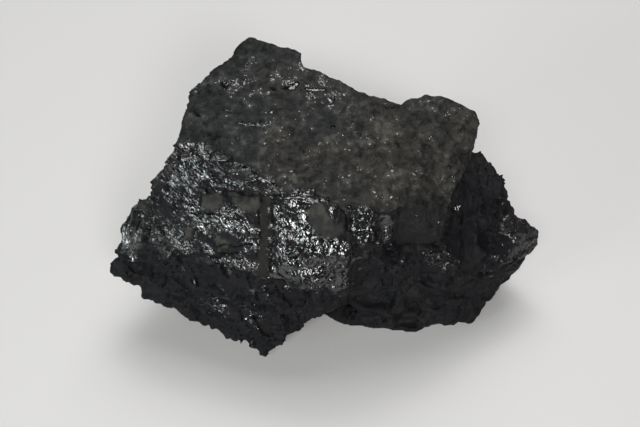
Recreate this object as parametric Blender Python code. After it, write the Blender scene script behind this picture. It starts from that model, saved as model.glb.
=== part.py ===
"""A lump of bituminous coal as it broke from the seam: one solid, lying on a bedding face.

Coal splits along its beds, which lie level here, and along the upright cleats that cross them.
So the lump is built from a few beds and blocks with flat sides, grown into one. Thin leaves stand
proud of its slope, and hollows are broken out of it. Then the beds step in and out along the
upright sides, every side is chipped into small flat faces, and the lump is cut off flat at the
bottom, on the bedding face that it lies on.

Sizes and places are in metres. +X is to the right, +Z is up, and the side that shows most faces -Y.
"""

import math

import bmesh
import bpy
import numpy as np
from mathutils import Matrix, Vector, noise

# The corners of each bed and block. Neighbours run into each other, so that they grow into one.
BLOCKS = {
    # The upper bed, whose top is the level, dull bedding face.
    "upper_bed": [
        (-0.038, 0.004, 0.049), (-0.037, 0.013, 0.051), (-0.0355, 0.0195, 0.052), (-0.030, 0.028, 0.053),
        (-0.024, 0.034, 0.053), (-0.005, 0.031, 0.052), (0.006, 0.0245, 0.0515), (0.0115, 0.019, 0.051),
        (0.018, 0.0175, 0.050), (0.020, -0.0175, 0.044), (0.0125, -0.0175, 0.046), (0.007, -0.0155, 0.047),
        (-0.006, -0.0125, 0.0475), (-0.015, -0.0065, 0.048), (-0.026, 0.000, 0.0485),
        (-0.036, 0.006, 0.020), (-0.030, 0.028, 0.022), (0.018, 0.020, 0.018), (0.016, -0.012, 0.020),
    ],
    # The square-edged knob at the far corner of the upper bed.
    "far_knob": [
        (-0.0235, 0.0355, 0.0545), (-0.020, 0.0405, 0.0545),
        (-0.005, 0.0355, 0.0535), (-0.005, 0.030, 0.0525),
        (-0.024, 0.030, 0.0535), (-0.024, 0.034, 0.026), (-0.019, 0.038, 0.030), (-0.006, 0.033, 0.026),
        (-0.010, 0.020, 0.026),
    ],
    # The lobe on the right, behind the dip in the far edge.
    "right_lobe": [
        (0.020, 0.0175, 0.0495), (0.0255, 0.0208, 0.0495), (0.031, 0.0226, 0.049), (0.0355, 0.0225, 0.048),
        (0.042, 0.0195, 0.0465), (0.045, 0.0158, 0.046), (0.043, 0.0105, 0.045), (0.0415, 0.007, 0.0445),
        (0.038, -0.0025, 0.0425), (0.0345, -0.0105, 0.040),
        (0.0325, -0.011, 0.0405), (0.020, -0.014, 0.043),
        (0.011, -0.0165, 0.046), (0.010, 0.010, 0.049),
        (0.022, 0.016, 0.024), (0.040, 0.016, 0.024), (0.036, -0.004, 0.022), (0.016, -0.010, 0.022),
    ],
    # The smooth square chip on the front of the lobe.
    "square_chip": [
        (0.020, -0.014, 0.043), (0.0345, -0.0105, 0.040), (0.033, -0.0195, 0.034), (0.0195, -0.0197, 0.034),
        (0.020, -0.015, 0.026), (0.032, -0.013, 0.026), (0.020, 0.000, 0.030), (0.032, 0.000, 0.030),
    ],
    # The small glossy chip beside the square one.
    "corner_chip": [
        (0.0145, -0.0187, 0.0435), (0.0193, -0.0168, 0.0435),
        (0.0196, -0.0201, 0.0342), (0.0150, -0.0212, 0.0342),
        (0.0145, -0.010, 0.043), (0.0193, -0.010, 0.043), (0.0193, -0.010, 0.031), (0.0145, -0.010, 0.031),
    ],
    # The chin under the chips.
    "chin": [
        (0.006, -0.0250, 0.032), (0.0195, -0.0225, 0.0315),
        (0.033, -0.0205, 0.0310), (0.0345, -0.0222, 0.024),
        (0.020, -0.0243, 0.021), (0.006, -0.0262, 0.021), (0.020, -0.0238, 0.008), (0.034, -0.0230, 0.008),
        (0.006, -0.010, 0.032), (0.033, -0.010, 0.031), (0.008, -0.010, 0.010), (0.033, -0.010, 0.010),
    ],
    # The glossy slope that falls from the upper bed to the brow.
    "glossy_slope": [
        (-0.038, 0.0035, 0.049), (-0.0405, 0.001, 0.046),
        (-0.0445, -0.004, 0.042), (-0.0465, -0.0075, 0.039),
        (-0.047, -0.0175, 0.033), (-0.0345, -0.018, 0.033),
        (-0.024, -0.025, 0.032), (-0.013, -0.028, 0.031),
        (-0.005, -0.0295, 0.029), (0.008, -0.028, 0.026),
        (0.0195, -0.0205, 0.030), (0.0125, -0.0175, 0.046),
        (0.007, -0.0155, 0.047), (-0.006, -0.0125, 0.0475),
        (-0.015, -0.0065, 0.048), (-0.026, 0.000, 0.0485),
        (-0.036, 0.004, 0.022), (0.014, -0.008, 0.018), (0.006, -0.026, 0.022), (-0.040, -0.014, 0.022),
    ],
    # The upright, layered side under the brow, which overhangs.
    "keel": [
        (-0.047, -0.0175, 0.033), (-0.024, -0.025, 0.032),
        (-0.013, -0.028, 0.031), (-0.005, -0.0295, 0.029),
        (0.008, -0.028, 0.024), (0.0030, -0.0278, 0.018),
        (-0.004, -0.0300, 0.013), (-0.0083, -0.0322, 0.009),
        (-0.0133, -0.0342, 0.006), (-0.0155, -0.0349, 0.005), (-0.0215, -0.0333, 0.006),
        (-0.0287, -0.0307, 0.007), (-0.0378, -0.0262, 0.009), (-0.0408, -0.0232, 0.011),
        (-0.0458, -0.0222, 0.012), (-0.0510, -0.0206, 0.013),
        (-0.036, 0.000, 0.011), (-0.012, -0.016, 0.007), (0.000, -0.018, 0.013),
    ],
    # The nose that sticks out on the left.
    "left_nose": [
        (-0.047, -0.0175, 0.033), (-0.0465, -0.0075, 0.039),
        (-0.0503, -0.0085, 0.036), (-0.0555, -0.0112, 0.030),
        (-0.0550, -0.0132, 0.027), (-0.0566, -0.0151, 0.025), (-0.0582, -0.0188, 0.019),
        (-0.0552, -0.0198, 0.0155), (-0.0510, -0.0206, 0.013),
        (-0.047, 0.000, 0.032), (-0.048, -0.002, 0.018), (-0.040, -0.010, 0.014),
    ],
    # The left side, from the nose back under the upper bed.
    "left_side": [
        (-0.050, -0.018, 0.016), (-0.048, -0.006, 0.022), (-0.0465, 0.000, 0.027), (-0.043, 0.006, 0.034),
        (-0.0385, 0.009, 0.040), (-0.036, 0.014, 0.044), (-0.041, 0.013, 0.014), (-0.040, -0.010, 0.011),
        (-0.022, -0.014, 0.009), (-0.024, 0.010, 0.010), (-0.046, -0.010, 0.013), (-0.030, -0.004, 0.040),
        (-0.0442, -0.0010, 0.0375), (-0.040, 0.004, 0.0415),
    ],
    # The lower shelf behind the lobe on the right.
    "right_shelf": [
        (0.0465, 0.0138, 0.035), (0.047, 0.010, 0.034), (0.0497, 0.0086, 0.0335), (0.0509, 0.0064, 0.033),
        (0.0514, 0.0037, 0.031), (0.0535, 0.0013, 0.030), (0.0536, -0.0026, 0.026), (0.034, -0.009, 0.031),
        (0.036, 0.004, 0.037), (0.038, 0.016, 0.036),
        (0.046, 0.013, 0.012), (0.051, 0.004, 0.010), (0.030, 0.004, 0.010), (0.034, 0.016, 0.012),
    ],
    # The tip that sticks out on the right.
    "right_tip": [
        (0.0538, -0.0026, 0.0265), (0.0580, -0.0043, 0.0255),
        (0.0622, -0.0047, 0.022), (0.0625, -0.0060, 0.0175),
        (0.0565, -0.0103, 0.0185), (0.0456, -0.0164, 0.020),
        (0.0384, -0.0196, 0.022), (0.0341, -0.0199, 0.027),
        (0.035, -0.008, 0.032),
        (0.0568, -0.0106, 0.012), (0.0538, -0.0138, 0.009), (0.0470, -0.0186, 0.003), (0.042, -0.0222, 0.0),
        (0.056, -0.002, 0.012), (0.048, 0.006, 0.0), (0.030, 0.004, 0.0),
    ],
    # The foot, down to the bedding face that the lump lies on.
    "foot": [
        (0.042, -0.0222, -0.002), (0.0364, -0.0236, -0.002),
        (0.0304, -0.0243, -0.002), (0.018, -0.0228, -0.002),
        (0.0145, -0.0236, -0.002), (0.0071, -0.0228, -0.002), (0.004, -0.020, 0.004),
        (0.033, -0.0195, 0.032), (0.0195, -0.0195, 0.032), (0.008, -0.024, 0.024),
        (0.047, 0.006, -0.002), (0.036, 0.020, -0.002), (-0.008, 0.028, -0.002), (-0.026, 0.016, -0.002),
        (-0.028, 0.000, -0.002), (-0.014, -0.010, -0.002),
        (0.042, 0.012, 0.026), (-0.030, 0.014, 0.026), (-0.006, 0.026, 0.026),
    ],
    # The back, which stands in steps under the far edge.
    "back": [
        (-0.037, 0.012, 0.044), (-0.022, 0.036, 0.046), (-0.004, 0.034, 0.046), (0.020, 0.022, 0.044),
        (0.044, 0.018, 0.040), (-0.040, 0.012, 0.012), (-0.024, 0.038, 0.010), (0.010, 0.034, 0.006),
        (0.040, 0.024, 0.008), (0.048, 0.012, 0.010), (-0.030, 0.004, 0.006), (0.020, 0.000, 0.004),
    ],
}

# Leaves that stand proud of the slope: the way each faces, how proud it is, its outline, and the
# foot of its slanting side.
LEAVES = {
    "upper_leaf": ((-0.23, -0.53, 0.82), 0.0015, [
        (-0.0385, 0.001, 0.0475), (-0.0255, -0.001, 0.049),
        (-0.015, -0.0065, 0.048), (-0.0095, -0.0125, 0.0465),
        (-0.0155, -0.012, 0.0455), (-0.0245, -0.010, 0.044),
        (-0.033, -0.0085, 0.0425), (-0.0395, -0.004, 0.0435),
    ], []),
    "bright_panel": ((0.00, -0.78, 0.62), 0.0021, [
        (-0.0108, -0.0135, 0.0455), (-0.005, -0.013, 0.047), (0.005, -0.015, 0.047), (0.008, -0.018, 0.045),
        (0.008, -0.022, 0.038), (0.0075, -0.0275, 0.027),
        (-0.005, -0.029, 0.029), (-0.0108, -0.0275, 0.032),
    ], [
        (-0.0150, -0.0118, 0.0455), (-0.0150, -0.0265, 0.0315),
    ]),
    "small_chip": ((0.10, -0.85, 0.50), 0.0016, [
        (0.0092, -0.018, 0.0445), (0.0135, -0.018, 0.044), (0.0142, -0.021, 0.038), (0.0095, -0.022, 0.038),
    ], []),
}
LEAF_ROOT = 0.005  # how far a leaf's outline runs into the slope behind it

# The round hollows broken out of the sides: the middle of each, and its half sizes.
HOLLOWS = {
    "cave_under_the_brow": ((-0.0018, -0.0212, 0.0083), (0.0104, 0.0090, 0.0090)),
    "crescent": ((0.0142, -0.0262, 0.0140), (0.0062, 0.0060, 0.0036)),
    "bowl_on_the_tip": ((0.0425, -0.0165, 0.0300), (0.0090, 0.0065, 0.0068)),
    "bowl_out_along_the_tip": ((0.0515, -0.0115, 0.0262), (0.0080, 0.0042, 0.0048)),
    "recess_under_the_nose": ((-0.0475, -0.0225, 0.0200), (0.0050, 0.0028, 0.0026)),
    "back_scoop": ((-0.008, 0.046, 0.024), (0.018, 0.010, 0.014)),
    "back_corner": ((0.046, 0.030, 0.036), (0.014, 0.012, 0.010)),
    "left_scoop": ((-0.050, 0.022, 0.028), (0.010, 0.016, 0.012)),
}

# The flat-sided notches, by the corners of what has broken away.
NOTCHES = {
    "under_the_square_chip": [
        (0.0198, -0.027, 0.0305), (0.0350, -0.027, 0.0300),
        (0.0350, -0.027, 0.0334), (0.0198, -0.027, 0.0334),
        (0.0212, -0.0165, 0.0322), (0.0335, -0.0160, 0.0322),
    ],
    "right_of_the_square_chip": [
        (0.0325, -0.027, 0.0375), (0.0395, -0.023, 0.0360),
        (0.0400, -0.021, 0.0290), (0.0335, -0.027, 0.0275),
        (0.0345, -0.0110, 0.0345), (0.0370, -0.0110, 0.0320),
    ],
    "facet_under_the_chin": [
        (0.0260, -0.0285, 0.0240), (0.0165, -0.0285, 0.0030), (0.0305, -0.0285, 0.0030),
        (0.0262, -0.0195, 0.0110), (0.0200, -0.0215, 0.0010), (0.0288, -0.0205, 0.0010),
    ],
    "slot_under_the_brow": [
        (-0.0080, -0.036, 0.0268), (0.0090, -0.036, 0.0232),
        (0.0090, -0.036, 0.0200), (-0.0080, -0.036, 0.0240),
        (0.0060, -0.0235, 0.0222), (-0.0060, -0.0255, 0.0250),
    ],
}

BLOCK_GRID = 0.0007  # the grid on which the blocks grow together
BREAK_GRID = 0.0007  # the grid on which the surface is broken
HEAL_GRID = 0.0006  # the grid on which the broken surface is made whole
NORMAL_ROUNDS = 10  # how often the normals are evened out before the surface is broken

# The beds, which stand in and out along the upright sides.
BED = 0.0031  # the mean thickness of a bed
BED_STEP = 0.0011  # how far one bed stands in or out of the next
BED_WAVE = 0.0006  # how far a bed's edge wanders up and down
BED_WAVE_LENGTH = 0.014
BED_SAG = 1.2  # the beds hang in a shallow trough: height lost for each x squared
CLEAT_SPACING = 0.022  # how far apart a bed's edge is broken back along the cleats
CLEAT_STEP = 0.0018

# The flat faces that the sides are chipped into: their size, and how far they are tipped.
CHIPS = ((0.0125, 0.12), (0.0052, 0.15))
CHIPS_ON_SLOPE = 0.55  # the share of that tipping which the glossy slope shows

# Where the coal has broken clean, so that the flat sides and their corners are kept: under the edge
# of the upper bed, between these heights, and round these places, out to this distance.
CLEAN_EDGE = (0.036, 0.043)
CLEAN_PLACES = {
    "far_knob": ((-0.0145, 0.0360, 0.0520), 0.0150),
    "corner_of_the_lobe": ((0.0430, 0.0165, 0.0450), 0.0120),
    "square_chip": ((0.0268, -0.0165, 0.0375), 0.0115),
    "tip": ((0.0600, -0.0050, 0.0220), 0.0100),
}
CLEAN_SHARE = 0.35  # the share of the chips and the steps that is left there

# The dull bedding face on top, which is only uneven.
GRAIN = 0.00035
GRAIN_LENGTH = 0.0025
PLATEAU = (0.036, 0.040)  # it is above these heights

# Between these heights of the normal, a face goes from one kind to the other.
UPRIGHT_TO_SLOPING = (0.35, 0.75)
SIDE_TO_SLOPE = (0.35, 0.55)
SLOPE_TO_LEVEL = (0.86, 0.95)

TRIANGLES = 10600  # what the lump is thinned out to, before it is cut off flat
CUT_SNAP = 1e-6  # corners nearer to the cut than this are on it

COAL_COLOUR = (0.020, 0.020, 0.022, 1.0)
COAL_ROUGHNESS = 0.35


def clear_scene():
    """Removes the objects of the startup scene."""
    for old in list(bpy.data.objects):
        bpy.data.objects.remove(old)


def add_object(name, solid):
    """Puts a bmesh in the scene as an object."""
    mesh = bpy.data.meshes.new(name)
    solid.to_mesh(mesh)
    solid.free()
    made = bpy.data.objects.new(name, mesh)
    bpy.context.scene.collection.objects.link(made)
    return made


def add_block(solid, corners):
    """Adds the closed block with flat sides that these corners span."""
    points = [solid.verts.new(corner) for corner in corners]
    bmesh.ops.convex_hull(solid, input=points)
    inside = [v for v in points if v.is_valid and not v.link_faces]
    bmesh.ops.delete(solid, geom=inside, context="VERTS")


def blocks_and_leaves():
    """Every block and leaf in one mesh, each still closed on its own."""
    solid = bmesh.new()
    for corners in BLOCKS.values():
        add_block(solid, corners)
    for facing, rise, outline, side_foot in LEAVES.values():
        out = Vector(facing).normalized()
        face = [Vector(corner) + out * rise for corner in outline]
        root = [Vector(corner) - out * LEAF_ROOT for corner in outline + side_foot]
        add_block(solid, face + root + side_foot)
    bmesh.ops.recalc_face_normals(solid, faces=solid.faces)
    return add_object("coal_lump", solid)


def cut_away(made, name, solid):
    """Takes a solid away from an object."""
    cutter = add_object(name, solid)
    cutter.hide_render = True
    cutter.display_type = "WIRE"
    cut = made.modifiers.new(name, "BOOLEAN")
    cut.operation = "DIFFERENCE"
    cut.object = cutter


def hollow(middle, half_sizes):
    """A round cutter, for a break that is hollow like a shell."""
    solid = bmesh.new()
    shape = Matrix.Translation(middle) @ Matrix.Diagonal((*half_sizes, 1.0))
    bmesh.ops.create_icosphere(solid, subdivisions=4, radius=1.0, matrix=shape)
    return solid


def notch(corners):
    """A cutter with flat sides."""
    solid = bmesh.new()
    add_block(solid, corners)
    bmesh.ops.recalc_face_normals(solid, faces=solid.faces)
    return solid


def settle(made):
    """Makes an object's modifiers part of its mesh."""
    depsgraph = bpy.context.evaluated_depsgraph_get()
    mesh = bpy.data.meshes.new_from_object(made.evaluated_get(depsgraph))
    made.modifiers.clear()
    made.data = mesh


def smooth_step(limits, value):
    """Rises from 0 at the lower limit to 1 at the upper one."""
    low, high = limits
    share = min(max((value - low) / (high - low), 0.0), 1.0)
    return share * share * (3.0 - 2.0 * share)


def chipped(point, size, tip):
    """How far a flat face of this size stands out here, each face being tipped its own way."""
    _, middles = noise.voronoi(point / size)
    middle = middles[0]
    lean = noise.cell_vector(middle) * 2.0 - Vector((1.0, 1.0, 1.0))
    return (point - middle * size).dot(lean) * tip


def bed_step(point):
    """How far the bed at this point stands out of an upright side."""
    height = point.z + BED_SAG * point.x**2 + BED_WAVE * noise.noise(point / BED_WAVE_LENGTH)
    bed = math.floor(height / BED)
    along = Vector((point.x / CLEAT_SPACING, point.y / CLEAT_SPACING, bed * math.tau))
    whole_bed = noise.cell(Vector((0.5, 0.5, bed + 0.5))) - 0.5
    return CLEAT_STEP * noise.noise(along) + BED_STEP * whole_bed


def broken_share(point):
    """How much of the chips and the steps this point shows: less where the coal broke clean."""
    clean = smooth_step(CLEAN_EDGE, point.z)
    for middle, reach in CLEAN_PLACES.values():
        nearness = 1.0 - (point - Vector(middle)).length / reach
        clean = max(clean, smooth_step((0.0, 0.4), nearness))
    return 1.0 - clean * (1.0 - CLEAN_SHARE)


def even_normals(mesh):
    """Each vertex's normal, evened out with its neighbours' so that the grid doesn't show in it."""
    count = len(mesh.vertices)
    normals = np.empty(count * 3)
    mesh.vertices.foreach_get("normal", normals)
    normals = normals.reshape(count, 3)
    ends = np.empty(len(mesh.edges) * 2, dtype=int)
    mesh.edges.foreach_get("vertices", ends)
    first, second = ends.reshape(-1, 2).T
    for _ in range(NORMAL_ROUNDS):
        total = normals.copy()
        np.add.at(total, first, normals[second])
        np.add.at(total, second, normals[first])
        normals = total / np.linalg.norm(total, axis=1, keepdims=True)
    return [Vector(normal) for normal in normals]


def break_surface(made):
    """Steps the beds along the sides, and chips the sides into flat faces."""
    mesh = made.data
    moved = []
    for vertex, out in zip(mesh.vertices, even_normals(mesh)):
        point = vertex.co
        upright = 1.0 - smooth_step(UPRIGHT_TO_SLOPING, abs(out.z))
        slope = smooth_step(SIDE_TO_SLOPE, out.z)
        top = smooth_step(SLOPE_TO_LEVEL, out.z) * smooth_step(PLATEAU, point.z)
        chip = sum(chipped(point, size, tip) for size, tip in CHIPS)
        broken = broken_share(point)
        chip *= broken * (1.0 - top) * (1.0 - slope * (1.0 - CHIPS_ON_SLOPE))
        grain = GRAIN * noise.noise(point / GRAIN_LENGTH)
        sideways = Vector((out.x, out.y, 0.0)) * bed_step(point) * upright * broken
        moved.append(point + out * (chip + grain) + sideways)
    for vertex, place in zip(mesh.vertices, moved):
        vertex.co = place
    mesh.update()


def grow_together(made, grid):
    """Makes one closed solid of everything in an object, on a grid this fine."""
    grown = made.modifiers.new("grown_together", "REMESH")
    grown.mode = "VOXEL"
    grown.voxel_size = grid


def drop_crumbs(made):
    """Takes out every loose crumb, so that the lump is left as one piece."""
    solid = bmesh.new()
    solid.from_mesh(made.data)
    pieces = []
    unseen = set(solid.verts)
    while unseen:
        piece = set()
        front = {unseen.pop()}
        while front:
            piece |= front
            front = {edge.other_vert(vertex) for vertex in front for edge in vertex.link_edges} - piece
        unseen -= piece
        pieces.append(piece)
    pieces.sort(key=len)
    for piece in pieces[:-1]:
        bmesh.ops.delete(solid, geom=list(piece), context="VERTS")
    solid.to_mesh(made.data)
    solid.free()


def thin_out(made, triangles):
    """Leaves about this many triangles, most of them where the surface bends."""
    thin = made.modifiers.new("thin", "DECIMATE")
    thin.ratio = triangles / sum(len(face.vertices) - 2 for face in made.data.polygons)
    settle(made)


def cut_flat(made):
    """Cuts the lump off at the level that it lies on, and closes the cut with one flat face."""
    solid = bmesh.new()
    solid.from_mesh(made.data)
    everything = solid.verts[:] + solid.edges[:] + solid.faces[:]
    ground, up = (0.0, 0.0, 0.0), (0.0, 0.0, 1.0)
    bmesh.ops.bisect_plane(
        solid, geom=everything, dist=CUT_SNAP, plane_co=ground, plane_no=up, clear_inner=True
    )
    rim = [edge for edge in solid.edges if edge.is_boundary]
    for edge in rim:
        for vertex in edge.verts:
            vertex.co.z = 0.0
    bmesh.ops.contextual_create(solid, geom=rim)
    solid.to_mesh(made.data)
    solid.free()


def stand_in_the_middle(made):
    """Moves the lump so that the origin is in the middle of its outline, where it stands."""
    for axis in (0, 1):
        places = [vertex.co[axis] for vertex in made.data.vertices]
        middle = (min(places) + max(places)) / 2
        for vertex in made.data.vertices:
            vertex.co[axis] -= middle


def coal():
    """Black, with a glassy sheen."""
    material = bpy.data.materials.new("coal")
    material.use_nodes = True
    shader = material.node_tree.nodes["Principled BSDF"]
    shader.inputs["Base Color"].default_value = COAL_COLOUR
    shader.inputs["Roughness"].default_value = COAL_ROUGHNESS
    shader.inputs["Metallic"].default_value = 0.0
    return material


clear_scene()
lump = blocks_and_leaves()
grow_together(lump, BLOCK_GRID)
for name, (middle, half_sizes) in HOLLOWS.items():
    cut_away(lump, name, hollow(middle, half_sizes))
for name, corners in NOTCHES.items():
    cut_away(lump, name, notch(corners))
grow_together(lump, BREAK_GRID)
settle(lump)
break_surface(lump)
grow_together(lump, HEAL_GRID)
settle(lump)
drop_crumbs(lump)
thin_out(lump, TRIANGLES)
cut_flat(lump)
stand_in_the_middle(lump)
lump.data.materials.clear()
lump.data.materials.append(coal())
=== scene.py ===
"""A lump of bituminous coal, as it broke from the seam, lying on a pale table.

Places and sizes are in metres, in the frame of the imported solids: +X along the lump, +Z up, and the
glossy broken slope towards -Y. Only the marks set out on the slope are in millimetres.
"""

import math

import bpy
import numpy as np
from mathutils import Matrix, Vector, noise


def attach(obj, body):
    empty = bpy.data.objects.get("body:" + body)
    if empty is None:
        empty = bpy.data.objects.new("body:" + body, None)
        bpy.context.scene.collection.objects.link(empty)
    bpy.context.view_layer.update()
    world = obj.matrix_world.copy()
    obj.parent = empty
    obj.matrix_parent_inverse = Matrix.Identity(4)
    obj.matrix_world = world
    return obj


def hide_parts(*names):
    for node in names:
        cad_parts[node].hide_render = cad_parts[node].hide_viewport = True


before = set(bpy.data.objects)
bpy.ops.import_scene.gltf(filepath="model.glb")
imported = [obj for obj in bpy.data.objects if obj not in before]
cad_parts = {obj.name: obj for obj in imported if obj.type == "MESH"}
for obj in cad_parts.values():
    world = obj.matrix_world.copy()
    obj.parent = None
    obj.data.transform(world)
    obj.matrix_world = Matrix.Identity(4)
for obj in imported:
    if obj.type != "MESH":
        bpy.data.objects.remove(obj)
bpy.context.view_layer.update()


# The lump, before its fine breakage. One piece of coal, lying on a bedding face. The solid gives
# its beds, hollows and notches, and is rebuilt on a fine even grid, so that all of the surface
# can be broken further. The face it rests on stays one flat face.
GRID = 0.00042
SAME_POINT = 1e-6

bpy.ops.object.select_all(action="DESELECT")
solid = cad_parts["coal_lump"]
coal = solid.copy()
coal.data = solid.data.copy()
coal.name = "coal"
bpy.context.scene.collection.objects.link(coal)
bpy.context.view_layer.objects.active = coal
coal.select_set(True)
bpy.ops.object.mode_set(mode="EDIT")
bpy.ops.mesh.select_all(action="SELECT")
bpy.ops.mesh.remove_doubles(threshold=SAME_POINT)
bpy.ops.object.mode_set(mode="OBJECT")
grid = coal.modifiers.new("fine_grid", "REMESH")
grid.mode = "VOXEL"
grid.voxel_size = GRID
bpy.ops.object.modifier_apply(modifier=grid.name)
wrap = coal.modifiers.new("back_onto_the_solid", "SHRINKWRAP")
wrap.target = solid
bpy.ops.object.modifier_apply(modifier=wrap.name)


# How each part of the surface broke. Coal splits level along its beds, which leaves the dull top,
# and square across them, which leaves layered sides. The slope between is bright coal that broke
# like glass. These shares are found for every point, from where it is and which way it faces.
UPRIGHT_TO_SLOPING = (0.35, 0.70)
SLOPE_TO_LEVEL = (0.84, 0.93)
TOP = (0.034, 0.038)
FACING_ROUNDS = 10
SHORTEST_FACING = 1e-9


def rise(limits, values):
    """Goes from 0 at the first limit to 1 at the second, smoothly."""
    first, second = limits
    share = np.clip((values - first) / (second - first), 0.0, 1.0)
    return share * share * (3.0 - 2.0 * share)


def corners_of(mesh):
    """The mesh's points as rows of x, y and z."""
    places = np.empty(len(mesh.vertices) * 3)
    mesh.vertices.foreach_get("co", places)
    return places.reshape(-1, 3)


def facing_of(mesh, rounds):
    """The way the surface faces at each point, evened out over its neighbours this many times."""
    facing = np.empty(len(mesh.vertices) * 3)
    mesh.vertices.foreach_get("normal", facing)
    facing = facing.reshape(-1, 3)
    ends = np.empty(len(mesh.edges) * 2, dtype=int)
    mesh.edges.foreach_get("vertices", ends)
    first, second = ends.reshape(-1, 2).T
    for _ in range(rounds):
        total = facing.copy()
        for axis in range(3):
            total[:, axis] += np.bincount(first, facing[second, axis], len(facing))
            total[:, axis] += np.bincount(second, facing[first, axis], len(facing))
        lengths = np.linalg.norm(total, axis=1, keepdims=True)
        facing = total / np.maximum(lengths, SHORTEST_FACING)
    return facing


places = corners_of(coal.data)
facing = facing_of(coal.data, FACING_ROUNDS)
level = rise(SLOPE_TO_LEVEL, facing[:, 2]) * rise(TOP, places[:, 2])
upright = 1.0 - rise(UPRIGHT_TO_SLOPING, np.abs(facing[:, 2]))

# The marks on the slope. They are set out in millimetres across to the right and up, on a sheet
# that faces the slope squarely, as seen from a point at arm's length in front of its middle.
MIDDLE = np.array((-0.0022, -0.0026, 0.0240))
SLOPE_OUT = np.array((0.0, -0.6428, 0.7660))
SLOPE_UP = np.array((0.0, 0.7660, 0.6428))
ARMS_LENGTH = 0.250
MILLIMETRES = 1000.0
TOWARDS_THE_FRONT = (0.02, 0.20)

from_eye = places - (MIDDLE + SLOPE_OUT * ARMS_LENGTH)
depth = -(from_eye @ SLOPE_OUT)
spread = MILLIMETRES * ARMS_LENGTH / depth
marks = np.column_stack((from_eye[:, 0], from_eye @ SLOPE_UP)) * spread[:, None]
in_front = rise(TOWARDS_THE_FRONT, facing @ SLOPE_OUT)


def gap_to(*line):
    """How far every point is from a line through these marks, in millimetres."""
    gap = np.full(len(marks), np.inf)
    for start, end in zip(line, line[1:]):
        along = np.subtract(end, start)
        share = np.clip((marks - start) @ along / (along @ along), 0.0, 1.0)
        gap = np.minimum(gap, np.linalg.norm(marks - start - share[:, None] * along, axis=1))
    return gap


# No outline or line on broken coal is straight, so all of them wave in and out like this.
RAGGED = 1.3
WAVE_LENGTH = 1.9
RIPPLE = 0.6
RIPPLE_LAYER = 5.0
ragged = np.array([
    noise.noise(Vector((x / WAVE_LENGTH, y / WAVE_LENGTH, 0.0)))
    + RIPPLE * noise.noise(Vector((x, y, RIPPLE_LAYER)))
    for x, y in marks
])


def inside(*outline):
    """How far every point is inside an outline through these marks; outside is below nought."""
    odd = np.zeros(len(marks), dtype=bool)
    for (x1, y1), (x2, y2) in zip(outline, outline[1:] + outline[:1]):
        if y1 == y2:
            continue
        crossed = (y1 > marks[:, 1]) != (y2 > marks[:, 1])
        odd ^= crossed & (marks[:, 0] < x1 + (x2 - x1) * (marks[:, 1] - y1) / (y2 - y1))
    return np.where(odd, 1.0, -1.0) * gap_to(*outline, outline[0]) + RAGGED * ragged


def patches(edge, outlines):
    """How much every point is within any of these outlines, from 0 to 1 across such an edge."""
    return np.maximum.reduce([rise(edge, inside(*outline)) for outline in outlines])


# Glossy panels, where the bright coal lies bare: the broad one, the three round the crack, the
# small chips and the nose.
GLOSSY_EDGE = (-0.4, 0.5)
GLOSSY = (
    ((-12.5, 5), (-5.5, 7), (-1.5, 6.5), (-0.5, 2), (0.5, -3.5), (3.5, -7), (7.5, -7.5), (8.5, -11),
     (7, -16), (8.5, -21), (-0.5, -22), (-9, -21), (-14, -17.5), (-13.5, -7)),
    ((-40, 20.5), (-33.5, 20), (-30.5, 15.5), (-26.5, 11.5), (-23, 7.5), (-27, 6.5), (-32.5, 8.5),
     (-36.5, 10.5), (-41, 6.5), (-45, 9.5), (-43.5, 15)),
    ((-44, 6), (-38, 6.5), (-33.5, 2), (-31.5, -0.5), (-26.5, 2.5), (-23, 1), (-17.5, -5),
     (-17.5, -10.5), (-21.5, -8.5), (-26.5, -4.5), (-30.5, -7), (-35.5, -4), (-41, -1.5),
     (-43.5, 2.5)),
    ((-35, -13.5), (-29.5, -11.5), (-22.5, -12), (-17.5, -13.5), (-17.5, -17.5), (-22.5, -16),
     (-27.5, -15)),
    ((9, 0.5), (13, 2.5), (15.5, -2.5), (15, -7), (11, -8.5), (9, -6)),
    ((17, -1), (20, -1.5), (20, -8.5), (17.5, -7.5)),
    ((-57, 0.5), (-52, 2), (-49.5, 1.5), (-49.5, -3), (-50.5, -9), (-52.5, -13), (-55.5, -11),
     (-57.5, -7), (-58, -3)),
)
glossy = patches(GLOSSY_EDGE, GLOSSY) * in_front

# The whole of the broken slope, down to the brow. Its surface isn't split in leaves.
SLOPE_EDGE = (-1.0, 1.0)
SLOPE = (
    (-42, 20), (-28, 16.5), (-16.5, 11.5), (-7, 6), (8, 3.5), (22, -0.5), (21, -9.5), (15.5, -10.5),
    (10, -16), (9, -21.5), (-5.5, -21), (-14.5, -18.5), (-26.5, -15), (-33.5, -11.5), (-37, -8.5),
    (-48, -8.5), (-49, 2.5), (-45, 12),
)
slope = rise(SLOPE_EDGE, inside(*SLOPE)) * in_front

# The top is granular as far as its rims.
RIM_SHARE = 0.85
on_top = rise(TOP, places[:, 2]) * (1.0 - slope) * (1.0 - upright)
level = np.maximum(level, RIM_SHARE * on_top)

# A dull brown riser runs up the slope between the glossy panels.
RISER_EDGE = (1.7, 0.9)
RISER_WAVES = 0.45
RISER = ((-15.3, 5.5), (-15.9, -1), (-15.7, -7), (-16.2, -12), (-15.9, -17))
riser = rise(RISER_EDGE, gap_to(*RISER) + RISER_WAVES * ragged) * in_front

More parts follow.
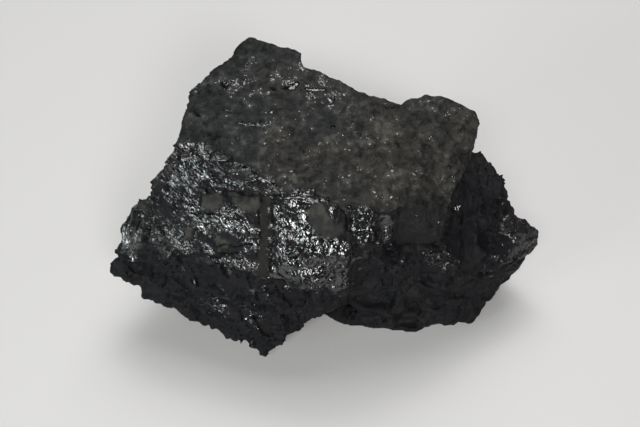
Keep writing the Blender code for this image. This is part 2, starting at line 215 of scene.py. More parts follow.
# Smooth dull lenses that stand a little proud in the glossy coal.
LENS_EDGE = (-0.7, 0.9)
LENS_RAISED = 0.0003
LENSES = (
    ((-2.5, 3.5), (0, 2.7), (3.6, -0.8), (4, -2.1), (6.7, -3), (7.3, -4.6), (4.8, -6.6), (2, -7.7),
     (0.3, -6.3), (-3.7, -2.7), (-4, 0.6)),
    ((-33.5, 5), (-29, 6), (-26.5, 4), (-27.5, 1.5), (-32, 0), (-33.5, 2.5)),
    ((-26, 6), (-21, 5.5), (-16.5, 4), (-15, 2), (-17.5, 0), (-21, 0.5), (-24, 2.5)),
    ((-39, -4.5), (-36, -4), (-35, -6.5), (-37.5, -7)),
    ((-30, -6.5), (-27, -6.5), (-25, -9), (-28, -10.5), (-30, -8.5)),
)
lens = patches(LENS_EDGE, LENSES) * in_front

# Smooth, rather dull faces: the square chip and the facet under the chin.
PLAIN_EDGE = (-0.4, 0.6)
PLAIN = (
    ((21.5, 1.5), (35.2, 2), (34, -8.8), (21, -8.6)),
    ((17.7, -32.8), (26.4, -18.7), (29.2, -32.2)),
)
plain = patches(PLAIN_EDGE, PLAIN) * in_front

# The thin leaf over the crack has a satin face. So have the ridges on the tip and below the square
# chip, and the coal beside the nose.
SATIN = (
    ((-33.5, 20), (-27.5, 16.5), (-16.5, 11.5), (-9, 6.5), (-14.5, 5), (-26.5, 6), (-30.5, 9.5),
     (-32.5, 15)),
    ((52, -0.4), (62, -4), (62, -8), (57.7, -11.7), (50.6, -14.5), (48.4, -12.5), (54.8, -8.6),
     (50.6, -4.6)),
    ((28, -11), (36, -10), (40, -14), (36, -16), (31, -14.5)),
    ((-48.5, 1.5), (-41, -1.5), (-34, -5), (-36, -12), (-45, -13), (-48.5, -6)),
)
satin = patches(GLOSSY_EDGE, SATIN) * in_front

# Places with many small glints: broken edges on the top, along the brow and on the right-hand
# ridge.
GLITTER_EDGE = (-1.2, 0.8)
GLITTERING = (
    ((-46, 33), (-41.5, 37.5), (-35, 36.5), (-34, 34), (-40.5, 31), (-45, 29.5)),
    ((-27.5, 37), (-16.5, 38.5), (-5.5, 37), (-5.5, 33.5), (-16.5, 34.5), (-22.5, 32), (-27.5, 34)),
    ((-5.5, 37.5), (-0.5, 39), (5, 34), (3.5, 30), (-2.5, 32)),
    ((14.5, 36.5), (18, 40), (23.5, 40), (21.5, 34.5), (18, 32.5)),
    ((-10.5, -20.5), (-5.5, -18.5), (3, -20), (9, -19.5), (9, -21.5), (-0.5, -22), (-9, -21.5)),
    ((-33.5, -24), (-26, -24.5), (-23, -27.5), (-28, -29.5), (-32.5, -27)),
    ((-26.5, -25), (-19, -25.5), (-17.5, -30.5), (-22.5, -31.5), (-26, -29)),
    ((50.5, -5), (56, -6.5), (58, -9), (53, -13.5), (50.5, -12.5)),
    ((38, 2), (41.5, 1.5), (42, -0.5), (39, -0.5)),
    ((46, -13.5), (49, -15), (48, -17), (45.5, -16.5)),
    ((-7, 44.5), (-4, 45.5), (-4, 40.5), (-6.5, 40)),
)
glitter = patches(GLITTER_EDGE, GLITTERING) * in_front

# Low on the bright panel the coal broke in small steps, whose faces look up.
STEPS_EDGE = (-2.0, 2.0)
STEPPED = ((-9.5, -9), (-3, -7.5), (2, -6.5), (8.5, -7), (9, -21.5), (-5, -21.5), (-9.5, -19))
stepped = rise(STEPS_EDGE, inside(*STEPPED)) * in_front

# Places along the grain of the slope, which runs down it and leans over to the right on its left
# part. On the nose it is longer still, and leans the other way.
STRETCH = 2.6
LEAN = 0.75
LEFT_PART = (0.004, -0.030)
NOSE = GLOSSY[-1]
NOSE_EDGE = (-2.5, -0.5)
NOSE_STRETCH = 7.0
NOSE_LEAN = -0.25
nose = rise(NOSE_EDGE, inside(*NOSE))
lean = LEAN * rise(LEFT_PART, places[:, 0]) * (1.0 - nose) + NOSE_LEAN * nose
stretch = STRETCH + (NOSE_STRETCH - STRETCH) * nose
down = -(places @ SLOPE_UP)
grain_places = np.column_stack((places[:, 0] - lean * down, places @ SLOPE_OUT, down / stretch))

# Low on the right the coal is smoother.
CALM_ON_THE_RIGHT = (-0.020, 0.004)
CALM_BELOW = (0.034, 0.026)
CALM_IN_FRONT = (0.0, -0.012)
calm = rise(CALM_ON_THE_RIGHT, places[:, 0]) * rise(CALM_BELOW, places[:, 2])
calm *= rise(CALM_IN_FRONT, places[:, 1])

# Elsewhere bright coal shows in scattered chips of a millimetre or two: many in the glittering
# places and on the slope, a few on the sides, and hardly any on the top.
CHIP = 0.0019
FINE_CHIPS = 0.4
CHIP_LEVEL = 0.54
FEWER_ON_TOP = 0.25
FEWER_WHERE_CALM = 0.4
MORE_WHERE_GLITTERING = 0.38
MORE_ON_THE_SLOPE = 0.38
CHIP_EDGE = (0.0, 0.05)
CHIP_GLOSS = 0.85
chips = np.array([
    noise.noise(Vector(row) / CHIP) + FINE_CHIPS * noise.noise(Vector(row) / (FINE_CHIPS * CHIP))
    for row in grain_places
])
chip_level = CHIP_LEVEL + FEWER_ON_TOP * on_top + FEWER_WHERE_CALM * calm * (1.0 - glitter)
chip_level -= MORE_WHERE_GLITTERING * glitter
chip_level -= MORE_ON_THE_SLOPE * slope
chip_gloss = CHIP_GLOSS * rise(CHIP_EDGE, chips - chip_level) * (1.0 - lens) * (1.0 - plain)
glossy = np.maximum(glossy, chip_gloss)
glossy *= 1.0 - riser
level *= 1.0 - glossy

# Open cracks: the long one under the thin leaf, and the short ones round the lenses and panels.
# The cracks are sunk a little, and the finish paints them near black as painted shade inside them.
CRACK_WIDTH = 0.24
CRACK_DEPTH = 0.0008
WANDER = 0.12
CRACKS = (
    ((-36.5, 11), (-33.5, 9.5), (-31, 7.5), (-28.5, 6.5), (-26.5, 6), (-24, 6), (-20.5, 5),
     (-18, 5), (-10.5, 5), (-8, 5), (-5, 6)),
    ((-31, 14.5), (-29, 14), (-26.5, 14.5), (-24.5, 15.5)),
    ((-30, -10), (-26.5, -8.5), (-24, -9.5), (-22, -9), (-19, -8.5)),
    ((-28.5, -11), (-25.5, -11.5), (-23, -11)),
    ((-8.5, -11.5), (-6.5, -10.5), (-3, -9)),
    ((-1.5, 5.5), (2, 4.5), (5.5, 1.5), (7.5, -0.5), (7.5, -5)),
    ((8, -5), (11.5, -6), (15, -5), (16.5, -2)),
    ((-16.6, 4.5), (-17.4, -1), (-16.8, -6), (-17.7, -12)),
    ((-13.8, 1), (-13.5, -6), (-14.4, -10), (-14.0, -16.5)),
    ((-33.5, 5), (-33.8, 2.5), (-32, -0.2), (-29, 0)),
    ((-26.2, 6), (-27, 4), (-28, 1.5)),
    ((20.6, -1), (20.8, -9), (23, -9.5), (26, -9), (30, -9.2), (34.2, -9.4)),
    ((34.6, -7.5), (37.3, -11)),
    ((9, -5.5), (9, 1)),
)
wander = WANDER + WANDER * ragged
crack = np.zeros(len(marks))
for line in CRACKS:
    gap = np.maximum(gap_to(*line) + wander, 0.0)
    crack = np.maximum(crack, np.exp(-((gap / CRACK_WIDTH) ** 2)) * in_front)

# Deep pits in the top, and in the broken edges of the glittering places.
# The pits join the cracks' share, so they are painted near black as painted shade too.
PIT_RIM = (0.55, 0.0)
PIT_WAVES = 0.35
PITS = (
    ((-31.2, 22.4), (-29.8, 21.5), (-28.4, 21.8)),
    ((-30.4, 21), (-29.2, 20.7)),
    ((-35.4, 28.5), (-34, 27.7)),
    ((-27.8, 36.7), (-26.4, 35.3), (-25.6, 36.1)),
    ((-11, 35.3), (-9.3, 35.3)),
    ((-14, 35.3), (-12.6, 34.7)),
)
for line in PITS:
    crack = np.maximum(crack, rise(PIT_RIM, gap_to(*line) + PIT_WAVES * ragged) * in_front)

# A round scale low on the bright panel, tipped up so that it stands out at its lower edge.
SCALE_EDGE = (-0.2, 0.4)
SCALE = ((1, -6), (4.5, -5.5), (8, -7.5), (8.8, -12), (6.5, -14.8), (2.5, -14.5), (0.5, -10.5))
SCALE_TOP, SCALE_FOOT = -5.5, -13.5
SCALE_RAISED = 0.0010
down_the_scale = np.clip((marks[:, 1] - SCALE_TOP) / (SCALE_FOOT - SCALE_TOP), 0.0, 1.0)
scale = rise(SCALE_EDGE, inside(*SCALE)) * in_front * down_the_scale

# Sharp low ridges on the right, round the hollows.
RIDGE_WIDTH = 0.9
RIDGE_HEIGHT = 0.0009
RIDGES = (
    ((36.8, 0), (44, -1), (49.5, -3.5), (54.3, -5), (58, -5.8)),
    ((58.5, -10.5), (55, -13), (51, -13.6), (49, -15.3), (45.3, -15.9)),
    ((36.3, -14.2), (38, -14.8), (40.5, -17.3), (45, -17.9), (50, -16.7), (54, -13.6)),
    ((30, -13.6), (31, -11.4), (35.4, -10.8), (38.2, -12.8)),
    ((9.6, -23.2), (14.6, -21.5), (20.2, -21.8), (22.5, -23.5)),
    ((18, -30.8), (22.5, -24.3), (25.6, -19), (31, -21), (36.6, -24.3), (42.2, -24)),
)
ridge = np.zeros(len(marks))
for line in RIDGES:
    gap = np.abs(gap_to(*line) + wander)
    ridge = np.maximum(ridge, np.maximum(0.0, 1.0 - gap / RIDGE_WIDTH) * in_front)

# Round dips beside them.
DIP_WIDTH = 2.2
DIP_DEPTH = 0.0009
DIPS = (
    ((37, -3.5), (42, -5), (46, -7.5)),
    ((41, -12), (46, -12)),
    ((10, -24.6), (14.6, -24.2), (19.5, -25)),
    ((25, -24.5), (28, -26)),
    ((32, -26), (37, -26.5)),
)
dip = np.zeros(len(marks))
for line in DIPS:
    dip = np.maximum(dip, np.exp(-((gap_to(*line) / DIP_WIDTH) ** 2)) * in_front)

# Corners that broke clean: the knob, the lobe and the tip. The whole height of the knob is cleaner
# than the rest too.
CLEAN_EDGE = (-1.0, 1.5)
CLEAN_SHARE = 0.65
CLEAN = (
    ((-26, 52), (-3, 47.5), (-3, 40.5), (-8.5, 39), (-26, 42.5)),
    ((33.5, 36), (48.5, 30), (47.5, 18), (42, 18), (39.5, 29)),
    ((52, 1), (64, -3.5), (64, -13.5), (53.5, -20), (49, -13.5), (51, -4.5)),
)
KNOB = (0.036, 0.044)
KNOB_SHARE = 0.5
clean_knob = KNOB_SHARE * rise(KNOB, places[:, 2]) * (1.0 - slope)
clean = np.maximum(CLEAN_SHARE * patches(CLEAN_EDGE, CLEAN), clean_knob)


# The fine breakage. Bright coal breaks in long flat flakes with a crinkled face; the beds split
# into thin leaves along the sides; the top is granular and pitted. The surface moves in or out by
# less than a millimetre. The bends of the flakes and the crinkles come from one fixed draw.
FIXED_DRAW = 1
noise.seed_set(FIXED_DRAW)

# How wide the flakes are, how far they are tipped, and how far apart in height.
FLAKES = ((0.0048, 0.20, 0.05), (0.0024, 0.20, 0.06))
PANEL_FLAKES = ((0.0048, 0.11, 0.035), (0.0022, 0.13, 0.03))
FLAKE_BEND = 0.25
BENDS_PER_FLAKE = 1.3


def flaked(place, width, tip, step):
    """How far the flat flake at this place stands out, which is tipped its own way."""
    near = place / width
    near += FLAKE_BEND * noise.noise_vector(near * BENDS_PER_FLAKE)
    _, middles = noise.voronoi(near)
    tipped = noise.cell_vector(middles[0]) * 2.0 - Vector((1.0, 1.0, 1.0))
    return width * (tip * (near - middles[0]).dot(tipped) + step * tipped.z)


CRINKLE = 0.00013
CRINKLE_WIDTH = 0.0011
CRINKLE_BEND = 0.5
BENDS_PER_CRINKLE = 0.45
CRINKLE_TOP = 0.8
CRINKLE_FALL = 2.4
FINE_CRINKLE_FALL = 1.1
FINE_PER_CRINKLE = 2.1


def crinkled(place):
    """A ridge as in crumpled foil: sharp on top, and rounded below."""
    near = place / CRINKLE_WIDTH
    bent = near + CRINKLE_BEND * noise.noise_vector(near * BENDS_PER_CRINKLE)
    ridge_top = CRINKLE_TOP - CRINKLE_FALL * abs(noise.noise(bent))
    return ridge_top - FINE_CRINKLE_FALL * abs(noise.noise(bent * FINE_PER_CRINKLE))


LEAF = 0.0010
LEAF_STEP = 0.00065
LEAF_LENGTH = 0.0080
LEAF_WAVE = 1.5
LEAF_ROUNDING = 1.5
BED_SAG = 1.2
BED_WAVE = 0.0012
BED_WAVE_LENGTH = 0.009


def leaved(place):
    """How far the thin leaf at this place stands out of an upright side."""
    bed = place.z + BED_SAG * place.x**2 + BED_WAVE * noise.noise(place / BED_WAVE_LENGTH)
    leaf = math.floor(bed / LEAF)
    along = Vector((place.x / LEAF_LENGTH, place.y / LEAF_LENGTH, leaf * math.tau))
    out_of_middle = (bed / LEAF - leaf - 0.5) ** 2
    step = LEAF_WAVE * noise.noise(along) + noise.cell(Vector((0.5, 0.5, leaf + 0.5))) - 0.5
    return LEAF_STEP * (step - LEAF_ROUNDING * out_of_middle)


LUMPS = 0.00060
LUMP_WIDTH = 0.0034
FINE_LUMPS, FINE_PER_LUMP = 0.7, 2.3
BROAD_LUMPS, BROAD_PER_LUMP = 0.9, 0.3
PIT = 0.0006
PIT_WIDTH = 0.0026
FINE_PITS, FINE_PIT_WIDTH = 0.5, 0.4
PIT_LEVEL = 0.62
PIT_SIDES = 4.0


def lumpy(place):
    """The grains and pits of a bedding face."""
    near = place / LUMP_WIDTH
    lumps = noise.noise(near) + FINE_LUMPS * noise.noise(near * FINE_PER_LUMP)
    lumps += BROAD_LUMPS * noise.noise(near * BROAD_PER_LUMP)
    pits = noise.noise(place / PIT_WIDTH)
    pits += FINE_PITS * noise.noise(place / (FINE_PIT_WIDTH * PIT_WIDTH))
    return LUMPS * lumps - PIT * min(1.0, max(0.0, PIT_SIDES * (pits - PIT_LEVEL)))


# The lenses, the square chip and the riser are smooth. The calm part is smoother than the rest, and
# its beds split less.
CALM_SMOOTHING = 0.45
CALM_UNSPLIT = 0.6
smooth = np.maximum(np.maximum(lens, plain), np.maximum(riser, CALM_SMOOTHING * calm))
leafy = (1.0 - CALM_UNSPLIT * calm) * (1.0 - plain) * (1.0 - slope)

# Every point moves out or in along the way it faces, apart from those it rests on.
REST_LEVEL = 0.0002
FARTHEST = 0.0009
CRINKLED = 0.35
CRINKLED_MORE_WHERE_GLOSSY = 0.25
moved = places.copy()
for i, row in enumerate(places):
    if row[2] < REST_LEVEL:
        moved[i, 2] = 0.0
        continue
    place = Vector(row)
    out = Vector(facing[i])
    along = Vector(grain_places[i])
    rough = (1.0 - level[i]) * (1.0 - smooth[i]) * (1.0 - clean[i])
    stand = LENS_RAISED * lens[i] + RIDGE_HEIGHT * ridge[i]
    stand -= CRACK_DEPTH * crack[i]
    stand -= DIP_DEPTH * dip[i]
    stand += SCALE_RAISED * scale[i]
    if rough > 0.0:
        bright = max(glossy[i], satin[i])
        if bright < 1.0:
            stand += rough * (1.0 - bright) * sum(flaked(along, *sizes) for sizes in FLAKES)
        if bright > 0.0:
            stand += rough * bright * sum(flaked(along, *sizes) for sizes in PANEL_FLAKES)
        crinkled_share = CRINKLED + CRINKLED_MORE_WHERE_GLOSSY * glossy[i]
        stand += CRINKLE * crinkled(along) * rough * crinkled_share
    if level[i] > 0.0:
        stand += lumpy(place) * level[i]
    shift = out * stand
    sideways = Vector((out.x, out.y, 0.0))
    shift += sideways * leaved(place) * upright[i] * leafy[i] * (1.0 - clean[i])
    if shift.length > FARTHEST:
        shift *= FARTHEST / shift.length
    moved[i] = place + shift
moved[:, 2] = np.maximum(moved[:, 2], 0.0)
coal.data.vertices.foreach_set("co", moved.ravel())
coal.data.update()

# The finish reads the shares of every point, and its own pattern follows the grain too.
grain_layer = coal.data.attributes.new("grain", "FLOAT_VECTOR", "POINT")
grain_layer.data.foreach_set("vector", grain_places.ravel())
for name, shares in (
    ("level", level), ("glossy", glossy), ("satin", satin), ("lens", lens), ("plain", plain),
    ("riser", riser), ("crack", crack), ("glitter", glitter), ("stepped", stepped),
):
    layer = coal.data.attributes.new(name, "FLOAT", "POINT")
    layer.data.foreach_set("value", shares)

# Flat flakes need few faces, and ridges many.
FACES = 196000
SHARP_FROM = math.radians(35)
thinned = coal.modifiers.new("thin_out", "DECIMATE")
thinned.ratio = FACES / (2 * len(coal.data.polygons))
bpy.ops.object.modifier_apply(modifier=thinned.name)
bpy.ops.object.shade_smooth_by_angle(angle=SHARP_FROM)


# What the coal is made of. It is black all over, and what differs is its gloss: the bright coal is
# like black glass, and the dull coal is matt, and a little brown or grey. Its finest grain, under
# half a millimetre, is in the finish alone.
class Link:
    """A socket that can be reckoned with."""

    def __init__(self, socket):
        self.socket = socket

    def reckon(self, operation, *others, swap=False):
        """A Math node on this socket and the others."""
        math_node = self.socket.node.id_data.nodes.new("ShaderNodeMath")
        math_node.operation = operation
        values = [self, *others]
        if swap:
            values.reverse()
        for slot, value in zip(math_node.inputs, values):
            join(slot, value)
        return Link(math_node.outputs[0])

    def __add__(self, other):
        return self.reckon("ADD", other)

    def __mul__(self, other):
        return self.reckon("MULTIPLY", other)

    def __sub__(self, other):
        return self.reckon("SUBTRACT", other)

    def __rsub__(self, other):
        return self.reckon("SUBTRACT", other, swap=True)

    __radd__ = __add__
    __rmul__ = __mul__


def join(socket, value):
    """Gives a socket a value, or a link."""
    if isinstance(value, Link):
        socket.node.id_data.links.new(value.socket, socket)
    else:
        socket.default_value = value


class Finish:
    """A material, by its nodes."""

    def __init__(self, name):
        self.material = bpy.data.materials.new(name)
        self.material.use_nodes = True
        self.nodes = self.material.node_tree.nodes
        self.shader = self.nodes["Principled BSDF"]

    def add(self, kind, settings=None, out=0, **values):
        """A node of this kind, with these settings and the values or links of its sockets."""
        made = self.nodes.new("ShaderNode" + kind)
        for name, setting in (settings or {}).items():
            if name == "stops":
                ramp = made.color_ramp.elements
                while len(ramp) < len(setting):
                    ramp.new(0.5)
                for stop, (position, colour) in zip(ramp, setting):
                    stop.position = position
                    stop.color = colour
            else:
                setattr(made, name, setting)
        for name, value in values.items():
            join(made.inputs[name.replace("_", " ")], value)
        return Link(made.outputs[out])

    def share(self, name):
        """A share that was kept for every point of the coal."""
        return self.add("Attribute", {"attribute_name": name}, out="Fac")

    def between(self, share, *stops):
        """A colour that goes from stop to stop as the share grows."""
        colours = [(position, (*colour, 1.0)) for position, colour in stops]
        return self.add("ValToRGB", {"stops": colours}, Fac=share)

    def blend(self, share, first, second):
        """The first colour where the share is 0, and the second where it is 1."""
        mixed = self.nodes.new("ShaderNodeMix")
        mixed.data_type = "RGBA"
        join(mixed.inputs[0], share)
        join(mixed.inputs[6], first)
        join(mixed.inputs[7], second)
        return Link(mixed.outputs[2])

    def vector(self, operation, first, second, out="Vector"):
        """Two vectors reckoned together."""
        made = self.nodes.new("ShaderNodeVectorMath")
        made.operation = operation
        join(made.inputs[0], first)
        join(made.inputs["Scale" if operation == "SCALE" else 1], second)
        return Link(made.outputs[out])

    def facets(self, where, width):
        """Small flat facets, each tipped its own way: their height for their width, and a colour
        for each, which comes from its own draw."""
        cells = self.add("TexVoronoi", out="Color", Vector=where, Scale=1.0 / width)
        middle = Link(cells.socket.node.outputs["Position"])
        offset = self.vector("SCALE", self.vector("SUBTRACT", where, middle), 1.0 / width)
        tip = self.vector("SUBTRACT", cells, CENTRED)
        return self.vector("DOT_PRODUCT", offset, tip, out="Value"), cells


CENTRED = (0.5, 0.5, 0.5)
black = Finish("coal_black")
where = black.add("TexCoord", out="Object")
level_share = black.share("level")
glossy_share = black.share("glossy")
satin_share = black.share("satin")
lens_share = black.share("lens")
plain_share = black.share("plain")
riser_share = black.share("riser")
crack_share = black.share("crack")
glitter_share = black.share("glitter")
stepped_share = black.share("stepped")

# Grains and specks of the dull coal.
SPECK = 0.00055
grains = black.add("TexNoise", Vector=where, Scale=1000.0, Detail=4.0)
mottle = black.add("TexNoise", Vector=where, Scale=170.0, Detail=5.0, Roughness=0.65)
specks, speck_colour = black.facets(where, SPECK)
speck_number = black.add("SeparateColor", Color=speck_colour)

# The grain of the slope: flakes, ridges and steps drawn out down it, in slow swirls.
SWIRL = 0.0020
FLAKE = 0.0008
PLATE = 0.0030
LONG = (1.0, 1.0, 0.40)
drawn_out = black.add("Attribute", {"attribute_name": "grain"}, out="Vector")
swirl = black.add("TexNoise", out="Color", Vector=where, Scale=300.0)
swirl = black.vector("SUBTRACT", swirl, CENTRED)
swirled = black.vector("ADD", drawn_out, black.vector("SCALE", swirl, SWIRL))
flakes, _ = black.facets(swirled, FLAKE)
long_grain = black.vector("MULTIPLY", swirled, LONG)
ripples = black.add("TexNoise", Vector=long_grain, Scale=900.0, Detail=2.0)
ridges = 1.0 - (ripples - 0.5).reckon("ABSOLUTE") * 4.0
steps = black.add(
    "TexWave", {"bands_direction": "Z", "wave_profile": "SAW"},
    Vector=swirled, Scale=520.0, Distortion=3.0, Detail=2.0,
)
plates, plate_colour = black.facets(swirled, PLATE)
plate_number = black.add("SeparateColor", Color=plate_colour)

# How far each of these stands out of the surface, for the bump. Where there are two numbers, the
# second is what the gloss of the place adds.
BUMP_DISTANCE = 0.0007
FLAKES_STAND = (0.25, 0.12)
RIDGES_STAND = (0.05, 0.13)
PLATES_STAND = 0.6
STEPS_STAND = 0.42
SPECKS_STAND = 0.18
GRAINS_STAND, GRAINS_STAND_ON_TOP = 0.12, 0.35
LUMPS_STAND = 1.1
SATIN_LIVELINESS = 0.6
lumps = black.add("TexNoise", Vector=where, Scale=420.0, Detail=3.0, Roughness=0.6)
lively = glossy_share.reckon("MAXIMUM", satin_share * SATIN_LIVELINESS)
broken = flakes * (FLAKES_STAND[0] + FLAKES_STAND[1] * glossy_share)
broken = broken + ridges * (RIDGES_STAND[0] + RIDGES_STAND[1] * lively)
broken = broken + plates * PLATES_STAND + steps * stepped_share * STEPS_STAND
fine = specks * SPECKS_STAND + grains * (GRAINS_STAND_ON_TOP * level_share + GRAINS_STAND)
fine = fine + lumps * level_share * LUMPS_STAND
height = broken * (1.0 - level_share) + fine * (1.0 - glossy_share)
bump = black.add("Bump", Height=height, Strength=1.0, Distance=BUMP_DISTANCE)

# Bright coal: black glass.
BRIGHT_ROUGHNESS, BRIGHT_GRAIN = 0.07, 0.10
bright_black = black.between(
    mottle, (0.35, (0.0030, 0.0030, 0.0045)), (0.65, (0.0075, 0.0072, 0.0085))
)
join(black.shader.inputs["Base Color"], bright_black)
join(black.shader.inputs["Roughness"], BRIGHT_ROUGHNESS + BRIGHT_GRAIN * grains)
black.shader.inputs["IOR"].default_value = 1.95
join(black.shader.inputs["Normal"], bump)

# Dull coal: matt, colder at the left end of the lump and warmer at the right.
MOTTLE_IN_TONE, SPECKLE_IN_TONE = 0.55, 0.45
WARMER_BY_LENGTH = 4.0
WARM_LEVEL = 0.4
WARM_STEEPNESS = 5.0
patches_of_warmth = black.add("TexNoise", Vector=where, Scale=45.0, Detail=2.0)
speckle = black.add("TexNoise", Vector=where, Scale=520.0, Detail=3.0)
tone = MOTTLE_IN_TONE * mottle + SPECKLE_IN_TONE * speckle
cold_black = black.between(
    tone,
    (0.41, (0.004, 0.0045, 0.005)),
    (0.48, (0.0105, 0.0115, 0.0118)),
    (0.55, (0.021, 0.022, 0.0215)),
    (0.60, (0.047, 0.048, 0.045)),
)
warm_black = black.between(
    tone,
    (0.41, (0.005, 0.0045, 0.004)),
    (0.48, (0.019, 0.0175, 0.015)),
    (0.55, (0.032, 0.0300, 0.0252)),
    (0.60, (0.062, 0.058, 0.048)),
)
along_the_lump = black.add("SeparateXYZ", Vector=where)
warmth = patches_of_warmth + along_the_lump * WARMER_BY_LENGTH - WARM_LEVEL
dull_black = black.blend(warmth * WARM_STEEPNESS, cold_black, warm_black)

# Own colours of the lenses, square chip and riser, and painted shade in the cracks and pits.
PLAIN_BLACK = (0.0085, 0.0078, 0.0078, 1.0)
RISER_BROWN = (0.013, 0.0108, 0.0095, 1.0)
CRACK_AND_PIT_SHADE = (0.001, 0.001, 0.001, 1.0)
DULL_ROUGHNESS, DULL_GRAIN, CRACK_DULLNESS = 0.50, 0.25, 0.2
colour = black.blend(level_share, bright_black, dull_black)
lens_grey = black.between(tone, (0.42, (0.017, 0.0175, 0.017)), (0.58, (0.048, 0.047, 0.039)))
colour = black.blend(lens_share, colour, lens_grey)
colour = black.blend(plain_share, colour, PLAIN_BLACK)
colour = black.blend(riser_share, colour, RISER_BROWN)
# Painted shade: near black in the cracks and pits.
colour = black.blend(crack_share, colour, CRACK_AND_PIT_SHADE)
dull_roughness = DULL_ROUGHNESS + DULL_GRAIN * grains + CRACK_DULLNESS * crack_share
dull = black.add("BsdfPrincipled", IOR=1.30, Base_Color=colour, Roughness=dull_roughness)
join(dull.socket.node.inputs["Normal"], bump)

# Where the bright coal shows: the glossy panels, plate by plate and bared in streaks, the satin
# faces, and single specks that glint in clusters.
CLUSTER_LEVEL = 0.53
GLINTS_WHERE_GLITTERING = 0.42
GLINTS_ON_TOP = 0.06
GLINT_GLOSS = 0.9
PLATE_GLOSS, BRIGHT_PLATE_GLOSS = 0.60, 0.40
BRIGHT_PLATES = 0.30
SATIN_GLOSS = 0.50
STREAK_LEVEL = 0.33
STREAK_STEEPNESS = 6.0
LEAST_BARE = 0.15
clustered = mottle.reckon("GREATER_THAN", CLUSTER_LEVEL)
glints = (GLINTS_WHERE_GLITTERING * glitter_share + GLINTS_ON_TOP * level_share) * clustered
glint = speck_number.reckon("GREATER_THAN", 1.0 - glints)
plate_gloss = PLATE_GLOSS + BRIGHT_PLATE_GLOSS * plate_number.reckon("GREATER_THAN", BRIGHT_PLATES)
streaks = black.add("TexNoise", Vector=long_grain, Scale=1100.0, Detail=2.0, Roughness=0.7)
bareness = (streaks - STREAK_LEVEL) * STREAK_STEEPNESS
bareness = bareness.reckon("MAXIMUM", LEAST_BARE).reckon("MINIMUM", 1.0)
shiny = (glossy_share * plate_gloss * bareness).reckon("MAXIMUM", GLINT_GLOSS * glint)
shiny = shiny.reckon("MAXIMUM", SATIN_GLOSS * satin_share * bareness)
both = black.add("MixShader", Fac=shiny * (1.0 - crack_share) * (1.0 - lens_share))
join(both.socket.node.inputs[1], dull)
join(both.socket.node.inputs[2], Link(black.shader.outputs[0]))
join(black.nodes["Material Output"].inputs["Surface"], both)
coal.data.materials.clear()
coal.data.materials.append(black.material)
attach(coal, "root")
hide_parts("coal_lump")


# The table: a pale matt sheet, which bends up into a round wall far behind the lump. It is a deep
# round tub without a lid, seen from inside, with its bottom rim rounded off.
TABLE_COLOUR = (0.590, 0.578, 0.573, 1.0)
TABLE_ROUGHNESS = 0.6
SWEEP_RADIUS = 2.6
SWEEP_HEIGHT = 2.4
SWEEP_BEND = 1.2
bpy.ops.object.select_all(action="DESELECT")
bpy.ops.mesh.primitive_cylinder_add(
    vertices=96, radius=SWEEP_RADIUS, depth=SWEEP_HEIGHT, location=(0.0, 0.0, SWEEP_HEIGHT / 2)
)
table = bpy.context.object
table.name = "table"
bpy.ops.object.transform_apply(location=True, rotation=True, scale=True)
bpy.ops.object.mode_set(mode="EDIT")
bpy.ops.mesh.select_mode(type="FACE")
bpy.ops.mesh.select_all(action="DESELECT")
bpy.ops.object.mode_set(mode="OBJECT")
for face in table.data.polygons:
    face.select = face.normal.z > 0.5
bpy.ops.object.mode_set(mode="EDIT")
bpy.ops.mesh.delete(type="FACE")
bpy.ops.mesh.select_mode(type="EDGE")
bpy.ops.mesh.select_all(action="DESELECT")
bpy.ops.object.mode_set(mode="OBJECT")
for rim in table.data.edges:
    rim.select = all(table.data.vertices[end].co.z < SWEEP_HEIGHT / 2 for end in rim.vertices)
bpy.ops.object.mode_set(mode="EDIT")
bpy.ops.mesh.bevel(offset=SWEEP_BEND, segments=16, profile=0.5)
bpy.ops.mesh.select_all(action="SELECT")
bpy.ops.mesh.flip_normals()
bpy.ops.object.mode_set(mode="OBJECT")
bpy.ops.object.shade_smooth()

# Above the table the wall is painted dark grey in front, as painted shade for the unlit side of a
# room.
PAINTED_WALL_SHADE = (0.12, 0.12, 0.12, 1.0)
WALL_FROM = 0.3
DARKER_UP = 3.0
DARKER_TO_THE_FRONT = -1.5
sheet = Finish("table_sheet")
across = sheet.add("SeparateXYZ", Vector=sheet.add("TexCoord", out="Object"))
ahead = (Link(across.socket.node.outputs["Y"]) * DARKER_TO_THE_FRONT).reckon("MAXIMUM", 0.0)
up_the_wall = (Link(across.socket.node.outputs["Z"]) - WALL_FROM) * DARKER_UP
wall_shade_share = up_the_wall.reckon("MAXIMUM", 0.0) * ahead
join(sheet.shader.inputs["Base Color"], sheet.blend(wall_shade_share, TABLE_COLOUR, PAINTED_WALL_SHADE))
sheet.shader.inputs["Roughness"].default_value = TABLE_ROUGHNESS
table.data.materials.append(sheet.material)


# The light. A wide soft ceiling with a stronger lamp in it lights the top and the table from
# behind. The room in front and a cool window low at the left fill the shade, and two small lamps
# in front show as the highlights of the glossy panels.
LIT_PLACE = Vector((0.0, 0.0, 0.03))
WHITE = (1.0, 1.0, 1.0)


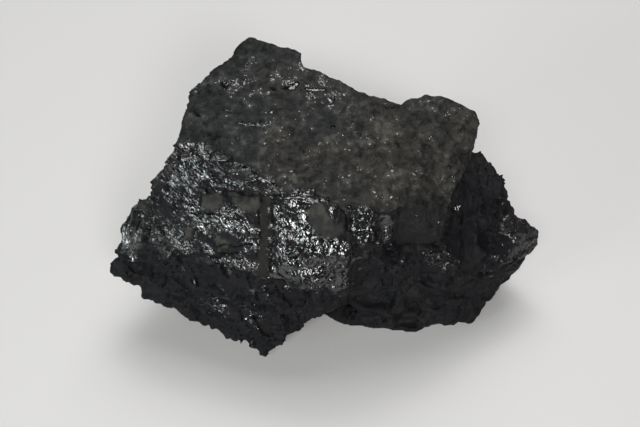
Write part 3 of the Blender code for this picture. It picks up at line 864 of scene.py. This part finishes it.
def soft_light(name, place, size, power, colour=WHITE):
    """A softbox that faces the lump, of this width and height."""
    lamp = bpy.data.lights.new(name, "AREA")
    lamp.shape = "RECTANGLE"
    lamp.size, lamp.size_y = size
    lamp.energy = power
    lamp.color = colour
    holder = bpy.data.objects.new(name, lamp)
    holder.location = place
    holder.rotation_mode = "QUATERNION"
    holder.rotation_quaternion = (LIT_PLACE - Vector(place)).to_track_quat("-Z", "Y")
    bpy.context.scene.collection.objects.link(holder)


soft_light("ceiling", (0.05, 0.62, 1.0), (1.0, 0.8), 9.7)
soft_light("ceiling_lamp", (0.0, 0.60, 0.92), (0.36, 0.14), 1.3)
soft_light("room_in_front", (-0.20, -0.85, 0.95), (1.4, 0.8), 0.4, (1.0, 0.98, 1.0))
soft_light("window", (-0.66, -0.42, 0.22), (0.28, 0.28), 2.1, (0.86, 1.0, 0.96))
soft_light("front", (-0.15, -0.58, 0.66), (0.25, 0.17), 2.5)
soft_light("front_right", (0.19, -0.68, 0.55), (0.25, 0.20), 3.0)

# A faint even light fills the rest.
EVEN_LIGHT = 0.06
world = bpy.data.worlds.new("room")
bpy.context.scene.world = world
world.use_nodes = True
background = world.node_tree.nodes["Background"]
background.inputs["Color"].default_value = (*WHITE, 1.0)
background.inputs["Strength"].default_value = EVEN_LIGHT
bpy.context.scene.view_settings.view_transform = "Standard"


# The camera stands in front of the lump, a quarter of a metre from the middle of the slope, and
# looks down at it.
CAMERA_AIM = Vector((-0.0022, -0.0026, 0.024))
CAMERA_DISTANCE = 0.250
CAMERA_RISE = math.radians(50)
view = bpy.data.cameras.new("camera")
view.lens = 50.0
view.sensor_width = 36.0
view.clip_start = 0.01
camera = bpy.data.objects.new("camera", view)
back = Vector((0.0, -math.cos(CAMERA_RISE), math.sin(CAMERA_RISE)))
camera.location = CAMERA_AIM + back * CAMERA_DISTANCE
camera.rotation_mode = "QUATERNION"
camera.rotation_quaternion = (-back).to_track_quat("-Z", "Y")
bpy.context.scene.collection.objects.link(camera)
bpy.context.scene.camera = camera
